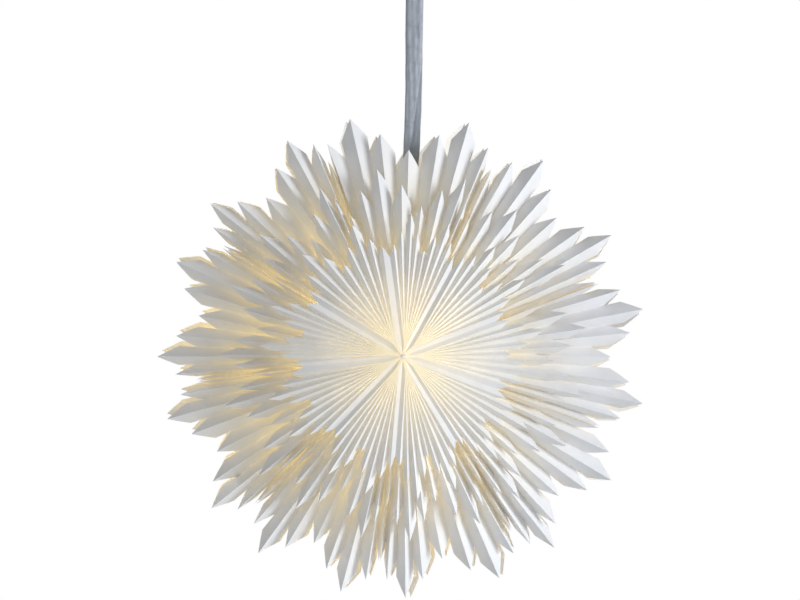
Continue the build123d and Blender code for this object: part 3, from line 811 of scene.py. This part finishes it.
dress(moulded("holder_plastic", (0.86, 0.86, 0.84), 0.38), "lampholder_body", "lampholder_cap")
dress(moulded("ring_plastic", (0.84, 0.84, 0.82), 0.42), "shade_ring", "cord_grip")
dress(moulded("clamp_plastic", (0.82, 0.82, 0.81), 0.45), "cord_clamp")
dress(moulded("terminal_plastic", (0.86, 0.85, 0.80), 0.5), "terminal_block")
dress(moulded("ferrule_plastic", sleeve_grey, 0.4), "sleeve_ferrule")
dress(moulded("cup_plastic", (0.87, 0.87, 0.86), 0.3), "ceiling_cup")
dress(moulded("fired_clay", (0.78, 0.76, 0.70), 0.55), "contact_block")
dress(metal("sheet_brass", (0.83, 0.62, 0.30), 0.32), "screw_shell", "centre_contact")
dress(metal("zinc_steel", (0.62, 0.63, 0.65), 0.36, (0.05, 1, 1)), "ceiling_bracket")
dress(metal("drawn_steel", (0.60, 0.61, 0.62), 0.28), "ceiling_hook", "hanging_link")
dress(metal("screw_steel", (0.56, 0.56, 0.55), 0.3), "block_screws", "terminal_screws", "clamp_screw")
dress(metal("bulb_solder", (0.52, 0.52, 0.50), 0.45), "bulb_tip")

thread_grey = (0.72, 0.72, 0.71)
threaded, tree, surface = new_material("bulb_thread", thread_grey, 0.3, 1.0)
place = tree.nodes.new("ShaderNodeTexCoord")
bands = tree.nodes.new("ShaderNodeTexWave")
bands.bands_direction = "Z"
bands.inputs["Scale"].default_value = 56
bands.inputs["Distortion"].default_value = 0.6
tree.links.new(place.outputs["Object"], bands.inputs["Vector"])
add_bump(tree, surface, bands.outputs["Fac"], 0.9, 0.0012)
mottle(tree, surface, grain(tree, 200), thread_grey, 0.1)
dress(threaded, "bulb_cap")

black_glass, tree, surface = new_material("black_glass", (0.02, 0.02, 0.025), 0.12)
wear(tree, surface, grain(tree, 300), 0.08, 0.2)
dress(black_glass, "bulb_insulator")

clear_glass, tree, surface = new_material("clear_glass", (1.0, 0.99, 0.97), 0.0)
surface.inputs["Transmission Weight"].default_value = 1.0
surface.inputs["IOR"].default_value = 1.45
add_bump(tree, surface, grain(tree, 40, 2), 0.05, 0.0006)
dress(clear_glass, "bulb_glass", "bulb_stem")
nodes["bulb_glass"].visible_shadow = False
nodes["bulb_stem"].visible_shadow = False

glowing, tree, surface = new_material("filament", (1.0, 0.75, 0.4), 0.6)
surface.inputs["Emission Color"].default_value = (1.0, 0.62, 0.27, 1)
surface.inputs["Emission Strength"].default_value = 12.0
add_bump(tree, surface, grain(tree, 3000, 2), 0.5, 0.0002)
dress(glowing, "bulb_filaments")
nodes["bulb_filaments"].visible_shadow = False

# The bulb's light, which the paper shows, at the filaments' height over the star's middle.
filament_height = 0.021
lamp_light = bpy.data.lights.new("lamp_light", "POINT")
lamp_light.energy = 3.0
lamp_light.color = (1.0, 0.74, 0.34)
lamp_light.shadow_soft_size = 0.018
lamp = bpy.data.objects.new("lamp", lamp_light)
bpy.context.scene.collection.objects.link(lamp)
lamp.location = (0, 0, middle.z + filament_height)
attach(lamp, "bulb")

# Floor, world and studio lights.
bpy.ops.mesh.primitive_circle_add(vertices=96, radius=3.0, fill_type="NGON", location=(0, 0, -1.6))
floor = bpy.context.object
floor.name = "floor"
floor_white = (0.86, 0.86, 0.85)
floor_paint, tree, surface = new_material("floor_paint", floor_white, 0.6)
mottle(tree, surface, grain(tree, 3), floor_white, 0.02)
floor.data.materials.append(floor_paint)

world = bpy.data.worlds.new("studio")
bpy.context.scene.world = world
world.use_nodes = True
tree = world.node_tree
fill = tree.nodes["Background"]
fill.inputs["Color"].default_value = (0.88, 0.93, 1.0, 1)
fill.inputs["Strength"].default_value = 0.28
backdrop = tree.nodes.new("ShaderNodeBackground")
backdrop.inputs["Color"].default_value = (1, 1, 1, 1)
path = tree.nodes.new("ShaderNodeLightPath")
seen = path.outputs["Is Camera Ray"]
for ray in ("Is Glossy Ray", "Is Transmission Ray"):
    either = tree.nodes.new("ShaderNodeMath")
    either.operation = "MAXIMUM"
    tree.links.new(seen, either.inputs[0])
    tree.links.new(path.outputs[ray], either.inputs[1])
    seen = either.outputs["Value"]
mix = tree.nodes.new("ShaderNodeMixShader")
tree.links.new(seen, mix.inputs["Fac"])
tree.links.new(fill.outputs["Background"], mix.inputs[1])
tree.links.new(backdrop.outputs["Background"], mix.inputs[2])
tree.links.new(mix.outputs["Shader"], tree.nodes["World Output"].inputs["Surface"])


def area_light(name, place, size, energy, colour):
    """A square light that shines at the star's middle."""
    light = bpy.data.lights.new(name, "AREA")
    light.size = size
    light.energy = energy
    light.color = colour
    lamp_object = bpy.data.objects.new(name, light)
    bpy.context.scene.collection.objects.link(lamp_object)
    lamp_object.location = place
    lamp_object.rotation_mode = "QUATERNION"
    lamp_object.rotation_quaternion = (middle - Vector(place)).to_track_quat("-Z", "Y")


area_light("key", (2.6, -1.3, -0.2), 1.0, 60, (0.93, 0.96, 1.0))
area_light("front_fill", (-0.9, -2.8, -0.3), 2.0, 8, (0.95, 0.97, 1.0))
area_light("back_fill", (-1.8, 2.2, 0.4), 1.5, 34, (0.97, 0.98, 1.0))

bpy.context.scene.view_settings.view_transform = "Standard"
